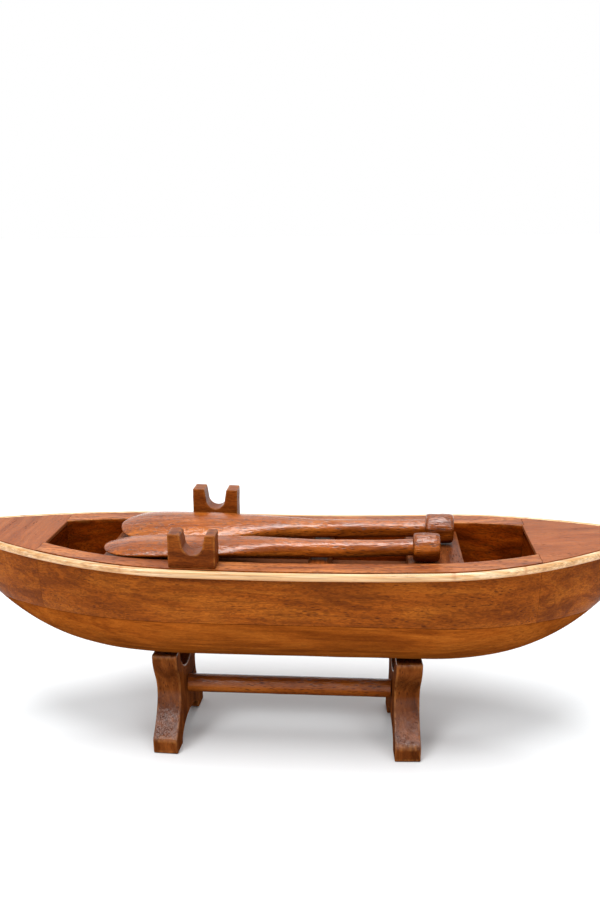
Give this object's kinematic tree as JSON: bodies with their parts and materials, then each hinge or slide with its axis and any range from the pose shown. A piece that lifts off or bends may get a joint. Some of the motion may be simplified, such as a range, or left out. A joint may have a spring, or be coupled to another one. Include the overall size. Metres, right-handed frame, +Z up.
{
  "type": "wooden canoe display model on a stand",
  "caption": "Small wooden model canoe with a cane rim, open well, seats, rowlock blocks and loose carved paddles, resting on a two-plate stand.",
  "frame": {"origin": "on the surface the stand's feet rest on, below the middle of the canoe", "axes": "+X along the canoe towards the stern, +Y across it, +Z up"},
  "size_m": [0.3393, 0.086, 0.118],
  "materials": {
    "hull_wood": "glossy lacquered red-brown hardwood with darker bands",
    "rail_wood": "satin red-brown hardwood with open pores and dark streaks",
    "well_wood": "matt stained hardwood",
    "paddle_wood": "hand-carved and lacquered orange-brown hardwood",
    "stand_wood": "dark lacquered hardwood with a slightly crazed coat",
    "cane": "pale split cane with fine lines along it"
  },
  "bodies": {
    "canoe": {"bottom_block": "hull_wood", "side_near": "hull_wood", "side_far": "hull_wood", "bow_block": "hull_wood", "stern_block": "hull_wood", "bow_deck": "rail_wood", "stern_deck": "rail_wood", "cane_near": "cane", "cane_far": "cane", "floor_board": "well_wood", "seat_bow": "well_wood", "seat_stern": "well_wood", "thwart": "rail_wood", "rowlock_near": "rail_wood", "rowlock_far": "rail_wood", "stand_bow": "stand_wood", "stand_stern": "stand_wood", "stand_dowel": "stand_wood"},
    "paddle_near": {"paddle_near": "paddle_wood", "paddle_near_grip": "paddle_wood"},
    "paddle_far": {"paddle_far": "paddle_wood", "paddle_far_grip": "paddle_wood"}
  },
  "joints": [
    {"name": "paddle_near_lift", "type": "slide", "parent": "canoe", "child": "paddle_near", "axis": [0, 0, 1], "range_m": [0, 0.06]},
    {"name": "paddle_far_lift", "type": "slide", "parent": "canoe", "child": "paddle_far", "axis": [0, 0, 1], "range_m": [0, 0.06]}
  ]
}
